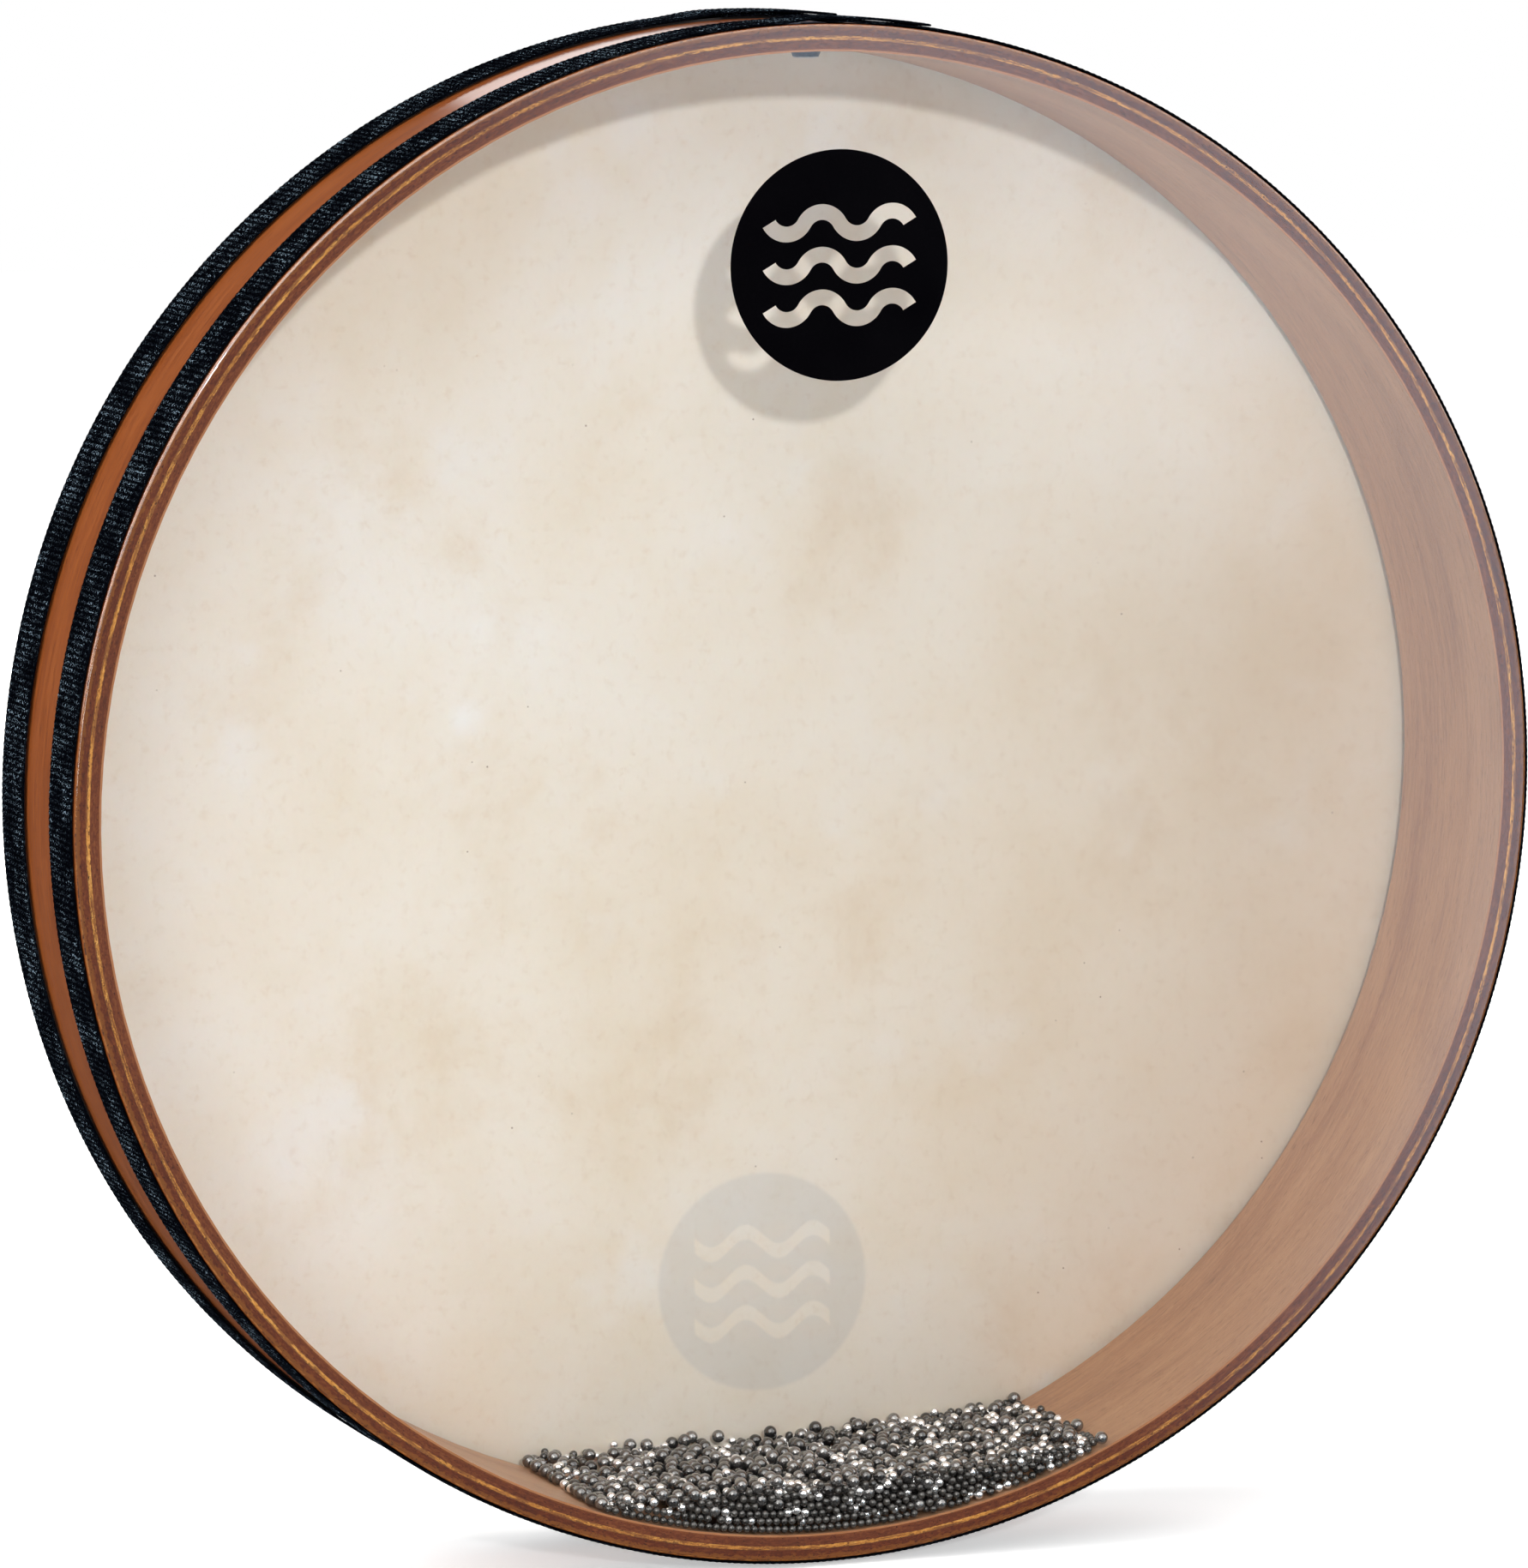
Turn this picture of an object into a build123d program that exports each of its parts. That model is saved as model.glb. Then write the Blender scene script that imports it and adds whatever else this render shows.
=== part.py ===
from build123d import *

import math
import os

import numpy as np
from scipy.spatial import cKDTree

# Sea drum (ocean drum): a shallow plywood hoop with a clear head on the front, a goatskin head on the
# back and a charge of loose steel shot sealed between them. It stands upright on its rim as it is held:
# the axis is Y, the clear head faces -Y, the skin head faces +Y, and +Z is up. The origin is the centre
# of the hoop. All sizes are in millimetres.

# ---- Hoop -------------------------------------------------------------------------------------------
OUTER_RADIUS = 228.6  # an 18 inch drum
WALL = 8.0
INNER_RADIUS = OUTER_RADIUS - WALL
DEPTH = 76.2  # 3 inches
HALF_DEPTH = DEPTH / 2
FRONT_ROUND = 1.0
BACK_ROUND = 1.6
BEARING_CUT = 4.5  # the inner bevel that leaves the skin a narrow crown to bear on
# the plies from the outside in; what is left over is the inner veneer
PLY_THICKNESS = {
    "outer_veneer": 0.6,
    "outer_core_ply": 2.8,
    "centre_ply": 1.2,
    "inner_core_ply": 2.8,
    "inner_veneer": 0.6,
}

# ---- Heads ------------------------------------------------------------------------------------------
FILM_THICKNESS = 0.25
FILM_SKIRT = 22.0
SKIN_THICKNESS = 0.6
SKIN_SKIRT = 21.0

# ---- Tapes ------------------------------------------------------------------------------------------
TAPE_WIDTH = 24.0
TAPE_THICKNESS = 0.9
TAPE_SETBACK = 0.6  # from the hoop's edge
TAPE_GAP = 0.05  # between tape and head, and between the two layers where the tape overlaps itself

# ---- Filler plug ------------------------------------------------------------------------------------
PLUG_RADIUS = 4.0
PLUG_FLANGE_RADIUS = 6.0
PLUG_FLANGE_THICKNESS = 0.8
PLUG_NOSE_ROOT_RADIUS = 5.0
PLUG_NOSE_TIP_RADIUS = 3.7
PLUG_NOSE_HEIGHT = 3.3
PLUG_X = 8.6

# ---- Printed emblems --------------------------------------------------------------------------------
EMBLEM_RADIUS = 34.0
PRINT_THICKNESS = 0.1
EMBLEM_DISTANCE = 158.0  # from the hoop's centre, up on the clear head and down on the skin
FRONT_EMBLEM_X = 5.0
BACK_EMBLEM_X = 8.7
WAVE_SPAN = 44.0
WAVE_HALVES = 4
WAVE_LINE = 4.6
WAVE_RISE = 3.2
WAVE_PITCH = 12.5

# ---- Shot -------------------------------------------------------------------------------------------
SHOT_DIAMETER = {"dark_shot": 2.4, "bright_shot": 2.8, "large_shot": 4.0}
DARK, BRIGHT, LARGE = range(3)
SHOT_LEVEL = -203.9  # height of the heap's top
HEAP_HALF_WIDTH = 83.0
HEAP_TILT = 3.0  # degrees, the right end higher
SHOT_CLEARANCE = 0.35  # from the wall and the heads, which the heap turns past
SHOT_SPREAD = 1.03  # the balls are spaced as if they were this much larger
SHOT_FILL = 0.56
SHOT_SEED = 7
CORE_DROP = 6.6  # the core's top lies this far under the heap's
CORE_FRONT_GAP = 4.7  # between the clear head and the core, filled by separate balls


def save(piece, name):
    """Labels a finished piece and writes its STEP."""
    piece.label = name
    export_step(piece, f"parts/{name}.step")


def side_plane(side):
    """Plane through the axis whose x runs out towards one head (side -1 front, +1 back) and y is +Z."""
    return Plane(origin=(0, 0, 0), x_dir=(0, side, 0), z_dir=(side, 0, 0))


def rim_point(radius, degrees):
    """Point (x, z) on a circle about the axis, clockwise from the top as seen from the front."""
    angle = math.radians(degrees)
    return radius * math.sin(angle), radius * math.cos(angle)


def rim_arc(radius, start, end):
    """Arc about the axis between two clockwise angles from the top, in the sketch plane XZ."""
    return CenterArc((0, 0), radius, 90 - start, start - end)


def make_plies():
    """The five bent plies of the hoop, glued face to face, with the filler hole through them all."""
    outer = OUTER_RADIUS
    for name, thickness in PLY_THICKNESS.items():
        inner = outer - thickness
        with BuildPart() as ply:
            with BuildSketch(side_plane(1)):
                with Locations((0, (OUTER_RADIUS + INNER_RADIUS) / 2)):
                    Rectangle(DEPTH, WALL)
                outside = vertices().group_by(Axis.Y)[-1].sort_by(Axis.X)
                inside = vertices().group_by(Axis.Y)[0].sort_by(Axis.X)
                chamfer(inside[-1], BEARING_CUT)
                fillet(outside[0], FRONT_ROUND)
                fillet(vertices().group_by(Axis.Y)[-1].sort_by(Axis.X)[-1], BACK_ROUND)
                with Locations((0, (outer + inner) / 2)):
                    Rectangle(DEPTH, thickness, mode=Mode.INTERSECT)
            revolve(axis=Axis.Y)
            with BuildSketch(Plane.XY.offset(INNER_RADIUS - WALL)):
                with Locations((PLUG_X, 0)):
                    Circle(PLUG_RADIUS)
            extrude(amount=3 * WALL, mode=Mode.SUBTRACT)
        save(ply.part, name)
        outer = inner


def make_head(name, side, thickness, skirt, bend, emblem):
    """A head: a flat disc that bends over the hoop's rounded edge and runs down its wall as a skirt.

    The printed emblem lies level with its outer face.
    """
    face = HALF_DEPTH
    turn_centre = (face - bend, OUTER_RADIUS - bend)
    with BuildPart() as head:
        with BuildSketch(side_plane(side)):
            with BuildLine():
                Line((face, 0), (face, OUTER_RADIUS - bend))
                CenterArc(turn_centre, bend, 0, 90)
                Line((face - bend, OUTER_RADIUS), (face - skirt, OUTER_RADIUS))
                Line((face - skirt, OUTER_RADIUS), (face - skirt, OUTER_RADIUS + thickness))
                Line((face - skirt, OUTER_RADIUS + thickness), (face - bend, OUTER_RADIUS + thickness))
                CenterArc(turn_centre, bend + thickness, 0, 90)
                Line((face + thickness, OUTER_RADIUS - bend), (face + thickness, 0))
                Line((face + thickness, 0), (face, 0))
            make_face()
        revolve(axis=Axis.Y)
        add(emblem, mode=Mode.SUBTRACT)
    save(head.part, name)


def make_tape(name, side, head_thickness, ramp_start, ramp_end, under_end, over_end):
    """A woven tape wound once round the hoop, its last stretch lying on its own beginning.

    The angles run clockwise from the top: the upper layer lifts off the hoop at ramp_start, lies on the
    lower layer from ramp_end, and ends at over_end. The lower layer begins at under_end.
    """
    low = OUTER_RADIUS + head_thickness + TAPE_GAP
    mid = low + TAPE_THICKNESS
    over = mid + TAPE_GAP
    high = over + TAPE_THICKNESS
    near_face = HALF_DEPTH - TAPE_SETBACK
    start_plane = Plane.XZ.offset(near_face if side < 0 else -near_face + TAPE_WIDTH)
    with BuildPart() as tape:
        with BuildSketch(start_plane):
            with BuildLine():
                rim_arc(low, under_end, 360 + ramp_start)
                Line(rim_point(low, ramp_start), rim_point(over, ramp_end))
                rim_arc(over, ramp_end, over_end)
                Line(rim_point(over, over_end), rim_point(high, over_end))
                rim_arc(high, over_end, ramp_end)
                Line(rim_point(high, ramp_end), rim_point(mid, ramp_start))
                rim_arc(mid, 360 + ramp_start, under_end)
                Line(rim_point(mid, under_end), rim_point(low, under_end))
            make_face()
        extrude(amount=-TAPE_WIDTH)
    save(tape.part, name)


def make_plug():
    """The plug of the filler hole: a flange outside the wall, a shank in it and a tapered nose inside."""
    nose_bottom = INNER_RADIUS - PLUG_NOSE_HEIGHT
    flange_top = OUTER_RADIUS + PLUG_FLANGE_THICKNESS
    with BuildPart() as plug:
        with BuildSketch(Plane(origin=(PLUG_X, 0, 0), x_dir=(1, 0, 0), z_dir=(0, -1, 0))):
            with BuildLine():
                Polyline(
                    (0, nose_bottom),
                    (PLUG_NOSE_TIP_RADIUS, nose_bottom),
                    (PLUG_NOSE_ROOT_RADIUS, INNER_RADIUS - 0.3),
                    (PLUG_RADIUS, INNER_RADIUS - 0.3),
                    (PLUG_RADIUS, OUTER_RADIUS),
                    (PLUG_FLANGE_RADIUS, OUTER_RADIUS),
                    (PLUG_FLANGE_RADIUS, flange_top - 0.3),
                    (PLUG_FLANGE_RADIUS - 0.6, flange_top),
                    (0, flange_top),
                    close=True,
                )
            make_face()
        revolve(axis=Axis((PLUG_X, 0, 0), (0, 0, 1)))
    save(plug.part, "filler_plug")


def draw_wave(height):
    """Cuts one wavy line out of the disc in the open sketch: half circles flattened to shallow arcs."""
    half = WAVE_SPAN / WAVE_HALVES
    with BuildLine() as line:
        for number in range(WAVE_HALVES):
            left = -WAVE_SPAN / 2 + number * half
            sagitta = WAVE_RISE if number % 2 else -WAVE_RISE
            SagittaArc((left, height), (left + half, height), sagitta)
    trace(line.line, line_width=WAVE_LINE, mode=Mode.SUBTRACT)


def make_emblem(name, side, x, z):
    """A printed disc in the outer face of a head, with three wavy lines left unprinted."""
    face = HALF_DEPTH + (FILM_THICKNESS if side < 0 else SKIN_THICKNESS) - PRINT_THICKNESS
    print_plane = Plane(origin=(x, side * face, z), x_dir=(-side, 0, 0), z_dir=(0, side, 0))
    with BuildPart() as emblem:
        with BuildSketch(print_plane):
            Circle(EMBLEM_RADIUS)
            for row in (-1, 0, 1):
                draw_wave(row * WAVE_PITCH)
        extrude(amount=PRINT_THICKNESS)
    save(emblem.part, name)
    return emblem.part


def heap_start(rng):
    """First places, kinds and radii of the balls: a jittered grid that fills the bottom of the hoop."""
    half_angle = math.acos(-SHOT_LEVEL / INNER_RADIUS)
    segment = INNER_RADIUS**2 * (half_angle - math.sin(half_angle) * math.cos(half_angle))
    volume = segment * DEPTH
    diameters = np.array(list(SHOT_DIAMETER.values()))
    usual_shares = np.array([0.72, 0.17, 0.11])
    mean_ball = (usual_shares * math.pi / 6 * diameters**3).sum()
    count = int(SHOT_FILL * volume / mean_ball)
    pitch = (volume / count) ** (1 / 3)
    grid = np.meshgrid(
        np.arange(-100, 100, pitch),
        np.arange(1.5 - HALF_DEPTH, HALF_DEPTH - 1.5, pitch),
        np.arange(-INNER_RADIUS, SHOT_LEVEL + 30, pitch),
        indexing="ij",
    )
    places = np.stack(grid, -1).reshape(-1, 3)
    places = places + rng.uniform(-0.35, 0.35, places.shape) * pitch
    places = places[np.hypot(places[:, 0], places[:, 2]) < INNER_RADIUS - 1.6]
    places = places[np.argsort(places[:, 2], kind="stable")][:count]

    # the large balls have worked their way up, most of all on the left
    near_top = places[:, 2] > SHOT_LEVEL - 6.5
    near_film = places[:, 1] < 3 - HALF_DEPTH
    leftness = np.clip(0.5 - places[:, 0] / 120, 0, 1)
    large_share = np.where(near_top, 0.10 + 0.25 * leftness, 0.05) * np.where(near_film, 0.35, 1)
    bright_share = np.where(near_top, 0.22, 0.13) * np.where(near_film, 0.75, 1)
    draw = rng.random(count)
    kinds = np.where(draw < large_share, LARGE, np.where(draw < large_share + bright_share, BRIGHT, DARK))
    return places, kinds, diameters[kinds] / 2


def settle(places, radii, steps, fall, around_core=False):
    """Moves the balls apart where they overlap and keeps them in the drum, sinking by fall each step."""
    reach = 2 * radii.max() * SHOT_SPREAD
    for _ in range(steps):
        places[:, 2] -= fall
        pairs = cKDTree(places).query_pairs(reach, output_type="ndarray")
        first, second = pairs[:, 0], pairs[:, 1]
        apart = places[first] - places[second]
        distance = np.sqrt((apart * apart).sum(1))
        wanted = (radii[first] + radii[second]) * SHOT_SPREAD
        close = distance < wanted
        first, second = first[close], second[close]
        share = 0.5 * (wanted[close] - distance[close]) / np.maximum(distance[close], 1e-6)
        push = share[:, None] * apart[close]
        total = len(places)
        for k in range(3):
            moved = np.bincount(first, push[:, k], total) - np.bincount(second, push[:, k], total)
            touches = np.bincount(first, minlength=total) + np.bincount(second, minlength=total)
            places[:, k] += moved / np.maximum(1, 0.35 * touches)
        from_axis = np.hypot(places[:, 0], places[:, 2])
        inward = np.minimum(1, (INNER_RADIUS - SHOT_CLEARANCE - radii) / from_axis)
        places[:, 0] *= inward
        places[:, 2] *= inward
        room = HALF_DEPTH - SHOT_CLEARANCE - radii
        places[:, 1] = np.clip(places[:, 1], -room, room)
        if around_core:
            keep_off_core(places, radii)
    return places


def keep_off_core(places, radii):
    """Moves the balls that reach into the room of the core out of it, the shorter way: forward or up."""
    too_far_back = places[:, 1] + radii - (CORE_FRONT_GAP - HALF_DEPTH)
    too_low = SHOT_LEVEL - CORE_DROP - (places[:, 2] - radii)
    inside = (too_far_back > 0) & (too_low > 0)
    forward = inside & (too_far_back < too_low)
    upward = inside & ~forward
    places[forward, 1] -= too_far_back[forward]
    places[upward, 2] += too_low[upward]


def reach_into_core(places, radii):
    """Marks the balls that reach into the room of the core."""
    behind = places[:, 1] + radii > CORE_FRONT_GAP - HALF_DEPTH + 0.01
    below = places[:, 2] - radii < SHOT_LEVEL - CORE_DROP - 0.01
    return behind & below


def stand_out(places, radii):
    """Marks the balls left perched on the heap or on the wall beside it."""
    perched = places[:, 2] + radii > SHOT_LEVEL + 3.4
    aside = np.abs(places[:, 0]) > HEAP_HALF_WIDTH
    return perched | aside


def overlap_another(places, radii):
    """Marks one ball of each pair that still overlap."""
    pairs = cKDTree(places).query_pairs(2 * radii.max(), output_type="ndarray")
    first, second = pairs[:, 0], pairs[:, 1]
    gap = np.linalg.norm(places[first] - places[second], axis=1) - radii[first] - radii[second]
    marked = np.zeros(len(places), bool)
    marked[second[gap < 0.001]] = True
    return marked


def visible(places, radii):
    """The balls that can be seen, or that stand among those at the ends of the heap."""
    near = cKDTree(places[:, :2]).query_ball_point(places[:, :2], 3.0)
    tops = places[:, 2] + radii
    cover = np.array([tops[those].max() for those in near]) - tops
    on_film = places[:, 1] - radii < SHOT_CLEARANCE + 1.0 - HALF_DEPTH
    return (cover < 2.8) | on_film


def make_shot():
    """The separate balls of the heap's front and top, in one node for each kind."""
    rng = np.random.default_rng(SHOT_SEED)
    places, kinds, radii = heap_start(rng)
    places = settle(places, radii, 300, 0.05)
    places = settle(places, radii, 150, 0.02)
    kept = visible(places, radii) & ~stand_out(places, radii)
    places, kinds, radii = places[kept], kinds[kept], radii[kept]
    places = settle(places, radii, 400, 0.0, around_core=True)
    kept = ~(reach_into_core(places, radii) | overlap_another(places, radii))
    places, kinds = places[kept], kinds[kept]
    tilt = math.radians(HEAP_TILT)
    x, z = places[:, 0].copy(), places[:, 2].copy()
    places[:, 0] = x * math.cos(tilt) - z * math.sin(tilt)
    places[:, 2] = x * math.sin(tilt) + z * math.cos(tilt)
    for kind, (name, diameter) in enumerate(SHOT_DIAMETER.items()):
        with BuildPart() as ball:
            Sphere(diameter / 2)
        balls = [ball.part.solid().moved(Location(tuple(place))) for place in places[kinds == kind].round(3)]
        save(Compound(balls), name)


def make_core():
    """The hidden inside of the heap, in one piece: the balls that can't be seen from anywhere."""
    radius = INNER_RADIUS - SHOT_CLEARANCE
    top = SHOT_LEVEL - CORE_DROP
    front = CORE_FRONT_GAP - HALF_DEPTH
    back = HALF_DEPTH - SHOT_CLEARANCE
    with BuildPart() as core:
        with BuildSketch(Plane.XZ.offset(-front)):
            Circle(radius)
            with Locations(Rotation(0, 0, HEAP_TILT) * Pos(0, top)):
                Rectangle(3 * radius, 3 * radius, align=(Align.CENTER, Align.MIN), mode=Mode.SUBTRACT)
        extrude(amount=-(back - front))
    save(core.part, "shot_core")


os.makedirs("parts", exist_ok=True)
make_plies()
front_emblem = make_emblem("front_emblem", -1, FRONT_EMBLEM_X, EMBLEM_DISTANCE)
back_emblem = make_emblem("back_emblem", 1, BACK_EMBLEM_X, -EMBLEM_DISTANCE)
make_head("clear_head", -1, FILM_THICKNESS, FILM_SKIRT, FRONT_ROUND, front_emblem)
make_head("skin_head", 1, SKIN_THICKNESS, SKIN_SKIRT, BACK_ROUND, back_emblem)
make_tape("front_tape", -1, FILM_THICKNESS, -3.0, 0.6, 0.5, 8.6)
make_tape("back_tape", 1, SKIN_THICKNESS, -7.0, -3.0, -3.1, 6.0)
make_plug()
make_shot()
make_core()
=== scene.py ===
import math

import bpy
import numpy as np
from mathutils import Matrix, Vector


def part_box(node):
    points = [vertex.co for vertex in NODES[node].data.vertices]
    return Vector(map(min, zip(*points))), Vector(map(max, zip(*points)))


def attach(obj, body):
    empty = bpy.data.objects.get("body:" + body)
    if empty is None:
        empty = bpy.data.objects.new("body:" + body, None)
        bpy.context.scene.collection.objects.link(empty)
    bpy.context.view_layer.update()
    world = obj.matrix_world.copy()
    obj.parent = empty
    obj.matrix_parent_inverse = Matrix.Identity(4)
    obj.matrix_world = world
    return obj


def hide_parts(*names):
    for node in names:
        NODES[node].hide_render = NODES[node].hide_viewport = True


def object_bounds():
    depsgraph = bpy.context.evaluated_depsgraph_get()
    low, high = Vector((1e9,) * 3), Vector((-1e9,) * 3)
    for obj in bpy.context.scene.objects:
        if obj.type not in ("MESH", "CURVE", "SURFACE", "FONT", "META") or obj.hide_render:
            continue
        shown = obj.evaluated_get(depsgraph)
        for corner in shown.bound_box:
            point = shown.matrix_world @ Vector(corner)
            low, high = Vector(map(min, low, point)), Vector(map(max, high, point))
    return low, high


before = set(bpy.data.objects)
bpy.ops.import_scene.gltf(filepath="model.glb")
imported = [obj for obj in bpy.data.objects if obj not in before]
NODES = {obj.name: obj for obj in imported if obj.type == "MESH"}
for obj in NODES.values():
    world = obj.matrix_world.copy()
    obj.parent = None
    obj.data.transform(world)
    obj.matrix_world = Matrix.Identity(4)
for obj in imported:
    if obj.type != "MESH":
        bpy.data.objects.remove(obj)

# Sea drum: the looks of a plywood hoop with a clear head, a goatskin head, black woven tapes and a heap of
# steel shot. Lengths are in metres. The hoop's axis is Y, the clear head faces -Y, and +Z is up. Angles run
# clockwise from the top, as seen from the front.

MM = 0.001
CAD_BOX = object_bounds()

VENEER = 0.6 * MM
OUTER_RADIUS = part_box("outer_veneer")[1][0]
INNER_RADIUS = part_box("inner_veneer")[1][0] - VENEER
HALF_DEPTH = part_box("centre_ply")[1][1]
FILM_BUILD = 0.25 * MM
SKIN_BUILD = 0.6 * MM
HEAP_TILT = math.radians(3.0)


# ---- Node helpers -----------------------------------------------------------------------------------
class Look:
    """A material under construction: short calls that add nodes and return their output sockets."""

    def __init__(self, name):
        self.material = bpy.data.materials.new(name)
        self.material.use_nodes = True
        self.tree = self.material.node_tree
        self.shader = self.tree.nodes["Principled BSDF"]
        self.coords = self.tree.nodes.new("ShaderNodeTexCoord").outputs["Object"]

    def feed(self, socket, value):
        """Links a socket, or sets a plain value."""
        if isinstance(value, bpy.types.NodeSocket):
            self.tree.links.new(value, socket)
        else:
            socket.default_value = value

    def math(self, operation, *values, clamp=False):
        node = self.tree.nodes.new("ShaderNodeMath")
        node.operation = operation
        node.use_clamp = clamp
        for socket, value in zip(node.inputs, values):
            self.feed(socket, value)
        return node.outputs[0]

    def parts(self, vector=None):
        """The x, y and z of a vector."""
        node = self.tree.nodes.new("ShaderNodeSeparateXYZ")
        self.feed(node.inputs[0], vector or self.coords)
        return node.outputs[0], node.outputs[1], node.outputs[2]

    def reach(self, a, b):
        """How far a point is from an axis, from its two coordinates across that axis."""
        squares = self.math("ADD", self.math("MULTIPLY", a, a), self.math("MULTIPLY", b, b))
        return self.math("SQRT", squares)

    def vector(self, x, y, z):
        node = self.tree.nodes.new("ShaderNodeCombineXYZ")
        for socket, value in zip(node.inputs, (x, y, z)):
            self.feed(socket, value)
        return node.outputs[0]

    def noise(self, vector, scale, detail=4.0, roughness=0.55, distortion=0.0):
        node = self.tree.nodes.new("ShaderNodeTexNoise")
        self.feed(node.inputs["Vector"], vector)
        self.feed(node.inputs["Scale"], scale)
        node.inputs["Detail"].default_value = detail
        node.inputs["Roughness"].default_value = roughness
        node.inputs["Distortion"].default_value = distortion
        return node.outputs["Fac"]

    def cells(self, vector, scale, feature="F1", output="Distance", randomness=1.0):
        node = self.tree.nodes.new("ShaderNodeTexVoronoi")
        node.feature = feature
        self.feed(node.inputs["Vector"], vector)
        node.inputs["Scale"].default_value = scale
        node.inputs["Randomness"].default_value = randomness
        return node.outputs[output]

    def band(self, value, low, high, to_low=0.0, to_high=1.0):
        """A smooth step of value from low to high."""
        node = self.tree.nodes.new("ShaderNodeMapRange")
        node.interpolation_type = "SMOOTHSTEP"
        for socket, number in zip(node.inputs, (value, low, high, to_low, to_high)):
            self.feed(socket, number)
        return node.outputs[0]

    def ramp(self, value, *stops):
        """Colours at places along 0 to 1, given as (place, colour) pairs."""
        node = self.tree.nodes.new("ShaderNodeValToRGB")
        self.feed(node.inputs[0], value)
        elements = node.color_ramp.elements
        while len(elements) < len(stops):
            elements.new(0.5)
        for element, (place, colour) in zip(elements, stops):
            element.position = place
            element.color = (*linear(colour), 1)
        return node.outputs[0]

    def blend(self, share, below, above, how="MIX"):
        """Lays one colour over another by share."""
        node = self.tree.nodes.new("ShaderNodeMix")
        node.data_type = "RGBA"
        node.blend_type = how
        self.feed(node.inputs[0], share)
        for socket, value in ((node.inputs[6], below), (node.inputs[7], above)):
            self.feed(socket, (*linear(value), 1) if isinstance(value, tuple) else value)
        return node.outputs[2]

    def bump(self, height, depth, strength=1.0, under=None):
        """A normal from a height of 0 to 1 that stands for depth in metres."""
        node = self.tree.nodes.new("ShaderNodeBump")
        node.inputs["Strength"].default_value = strength
        node.inputs["Distance"].default_value = depth
        self.feed(node.inputs["Height"], height)
        if under:
            self.feed(node.inputs["Normal"], under)
        return node.outputs[0]

    def set(self, **values):
        """Sets the Principled shader's sockets, with underscores for spaces."""
        for name, value in values.items():
            self.feed(self.shader.inputs[name.replace("_", " ")], value)

    def round_the_axis(self, along, across, deep):
        """Coordinates that follow the hoop: along its circumference, across its depth and through its wall.

        The three factors stretch the pattern, and there is no seam, because the circle stays a circle.
        """
        x, y, z = self.parts()
        radius = self.reach(x, z)
        turn = self.math("DIVIDE", along * OUTER_RADIUS, radius)
        depth = self.math("ADD", self.math("MULTIPLY", y, across), self.math("MULTIPLY", radius, deep))
        return self.vector(self.math("MULTIPLY", x, turn), depth, self.math("MULTIPLY", z, turn)), radius


def linear(colour):
    """An sRGB colour of 0 to 255 as linear light."""
    return tuple(c / 255 / 12.92 if c <= 10 else ((c / 255 + 0.055) / 1.055) ** 2.4 for c in colour)


def wear(node, material):
    """Gives a CAD node its material."""
    mesh = NODES[node].data
    mesh.materials.clear()
    mesh.materials.append(material)


# ---- Wood -------------------------------------------------------------------------------------------
FRAYED_EDGE = (104, 56, 24)
DARK_STRAND = (122, 70, 34)
WOOD_PIT = (42, 16, 8)


def edge_wood(name, dark, mid, light, bright_zone=None, split=None):
    """A ply: its cut edge is ragged end grain that runs round the hoop, sealed with thin lacquer.

    bright_zone is (radius, width, colour): past that radius the ply is that colour. split is (radius, half
    width, colour): the ply's two edges fray around that radius, and a broken dark line runs along it.
    """
    look = Look(name)
    vector, radius = look.round_the_axis(1.0, 7.0, 7.0)
    streaks = look.noise(vector, 260.0, 6.0, 0.75)
    broad = look.noise(vector, 22.0, 3.0, 0.6)
    fibre, _ = look.round_the_axis(1.0, 2.2, 2.2)
    ticks = look.noise(fibre, 620.0, 3.0, 0.7)
    value = look.math("ADD", look.math("MULTIPLY", streaks, 0.5), look.math("MULTIPLY", ticks, 0.5))
    value = look.math("ADD", look.math("MULTIPLY", value, 0.8), look.math("MULTIPLY", broad, 0.2))
    colour = look.ramp(value, (0.36, dark), (0.5, mid), (0.62, light))
    ragged = look.math("MULTIPLY", look.math("SUBTRACT", ticks, 0.5), 3.0 * MM)
    ragged = look.math("ADD", radius, look.math("ADD", ragged, look.math("MULTIPLY", streaks, 0.4 * MM)))
    if bright_zone:
        start, width, tint = bright_zone
        zone = look.band(ragged, start, start + width)
        colour = look.blend(look.math("MULTIPLY", zone, 0.85), colour, tint)
    if split:
        middle, half, tint = split
        frayed = look.math("ABSOLUTE", look.math("SUBTRACT", ragged, middle))
        colour = look.blend(look.band(frayed, 0.40 * MM, 0.70 * MM, 0.0, 0.9), colour, FRAYED_EDGE)
        strand, _ = look.round_the_axis(0.3, 3.4, 3.4)
        strands = look.noise(strand, 380.0, 3.0, 0.6)
        colour = look.blend(look.band(strands, 0.47, 0.58, 0.0, 0.8), colour, DARK_STRAND)
        broken = look.band(look.noise(vector, 9.0, 3.0, 0.6), 0.46, 0.54)
        line = look.math("MULTIPLY", look.band(frayed, half, half * 0.3), broken)
        colour = look.blend(look.math("MULTIPLY", line, 0.8), colour, tint)
    pits = look.noise(fibre, 1000.0, 2.0, 0.5)
    colour = look.blend(look.band(pits, 0.62, 0.70, 0.0, 0.85), colour, WOOD_PIT)
    look.set(Base_Color=colour, Roughness=look.band(streaks, 0.2, 0.8, 0.5, 0.65), Specular_IOR_Level=0.3)
    look.set(Coat_Weight=0.04, Coat_Roughness=0.2, Normal=look.bump(ticks, 0.08 * MM, 0.6))
    return look.material


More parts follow.
